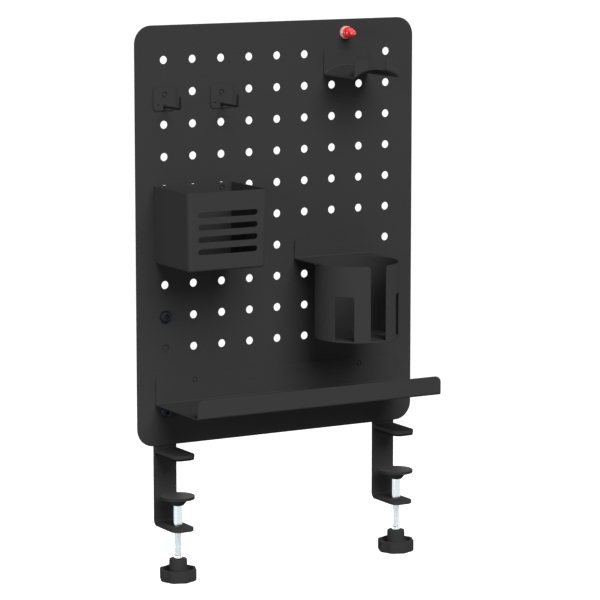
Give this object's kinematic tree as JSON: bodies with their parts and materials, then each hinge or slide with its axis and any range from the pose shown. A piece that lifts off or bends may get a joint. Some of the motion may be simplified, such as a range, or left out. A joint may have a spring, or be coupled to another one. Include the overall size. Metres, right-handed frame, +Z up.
{
  "type": "pegboard desk organizer",
  "caption": "Perforated steel panel on two screw desk clamps, with hang-on pen box, cup holder, shelf tray, hooks and a magnet push pin.",
  "frame": {"origin": "midway between the two clamps, on the desk top (underside of the upper jaws' rubber) and on the desk-edge plane (front of the clamp bars)", "axes": "+X along the desk edge to the right, +Z up, -Y over the desk towards the user"},
  "size_m": [0.35, 0.119, 0.6063],
  "materials": {
    "powder_steel": "satin black powder coat, fine texture",
    "bright_steel": "bright zinc or chrome plating",
    "zinc": "zinc plated",
    "black_bolt": "black oxide",
    "black_plastic": "fine moulded texture",
    "rubber": "matt",
    "red_plastic": "translucent red",
    "magnet": "nickel plated"
  },
  "bodies": {
    "panel": {"pegboard_panel": "powder_steel", "panel_bolts": "black_bolt", "panel_washers": "zinc", "panel_nuts": "zinc", "clamp_bracket_left": "powder_steel", "upper_jaw_left": "powder_steel", "jaw_rubber_left": "rubber", "threaded_sleeve_left": "bright_steel", "clamp_bracket_right": "powder_steel", "upper_jaw_right": "powder_steel", "jaw_rubber_right": "rubber", "threaded_sleeve_right": "bright_steel"},
    "clamp_foot_left": {"clamp_foot_left": "black_plastic", "foot_rubber_left": "rubber"},
    "clamp_screw_left": {"clamp_screw_left": "bright_steel", "clamp_knob_left": "black_plastic"},
    "small_hook_left": {"hook_plate_left": "powder_steel", "hook_arm_left": "powder_steel"},
    "clamp_foot_right": {"clamp_foot_right": "black_plastic", "foot_rubber_right": "rubber"},
    "clamp_screw_right": {"clamp_screw_right": "bright_steel", "clamp_knob_right": "black_plastic"},
    "small_hook_right": {"hook_plate_right": "powder_steel", "hook_arm_right": "powder_steel"},
    "tray": {"shelf_tray": "powder_steel"},
    "pen_box": {"pen_box": "powder_steel"},
    "cup_holder": {"cup_bracket": "powder_steel", "cup_wall": "powder_steel", "cup_base": "powder_steel"},
    "headphone_hook": {"headphone_hook": "powder_steel"},
    "push_pin": {"push_pin": "red_plastic", "push_pin_magnet": "magnet"}
  },
  "joints": [
    {"name": "foot_slide_left", "type": "slide", "parent": "panel", "child": "clamp_foot_left", "axis": [0, 0, 1], "range_m": [0, 0.03]},
    {"name": "screw_turn_left", "type": "hinge", "parent": "clamp_foot_left", "child": "clamp_screw_left", "pos_m": [-0.14, -0.028, -0.11], "axis": [0, 0, 1], "range_deg": [0, 8640]},
    {"name": "foot_slide_right", "type": "slide", "parent": "panel", "child": "clamp_foot_right", "axis": [0, 0, 1], "range_m": [0, 0.03]},
    {"name": "screw_turn_right", "type": "hinge", "parent": "clamp_foot_right", "child": "clamp_screw_right", "pos_m": [0.14, -0.028, -0.11], "axis": [0, 0, 1], "range_deg": [0, 8640]},
    {"name": "tray_lift", "type": "slide", "parent": "panel", "child": "tray", "axis": [0, 0, 1], "range_m": [0, 0.0048]},
    {"name": "pen_box_lift", "type": "slide", "parent": "panel", "child": "pen_box", "axis": [0, 0, 1], "range_m": [0, 0.0048]},
    {"name": "cup_holder_lift", "type": "slide", "parent": "panel", "child": "cup_holder", "axis": [0, 0, 1], "range_m": [0, 0.0048]},
    {"name": "headphone_hook_lift", "type": "slide", "parent": "panel", "child": "headphone_hook", "axis": [0, 0, 1], "range_m": [0, 0.0048]},
    {"name": "small_hook_left_lift", "type": "slide", "parent": "panel", "child": "small_hook_left", "axis": [0, 0, 1], "range_m": [0, 0.0048]},
    {"name": "small_hook_right_lift", "type": "slide", "parent": "panel", "child": "small_hook_right", "axis": [0, 0, 1], "range_m": [0, 0.0048]},
    {"name": "push_pin_pull", "type": "slide", "parent": "panel", "child": "push_pin", "axis": [0, -1, 0], "range_m": [0, 0.03]}
  ],
  "couplings": [
    {"joint": "foot_slide_left", "follows": "screw_turn_left", "m_per_rad": 0.00019894},
    {"joint": "foot_slide_right", "follows": "screw_turn_right", "m_per_rad": 0.00019894}
  ]
}
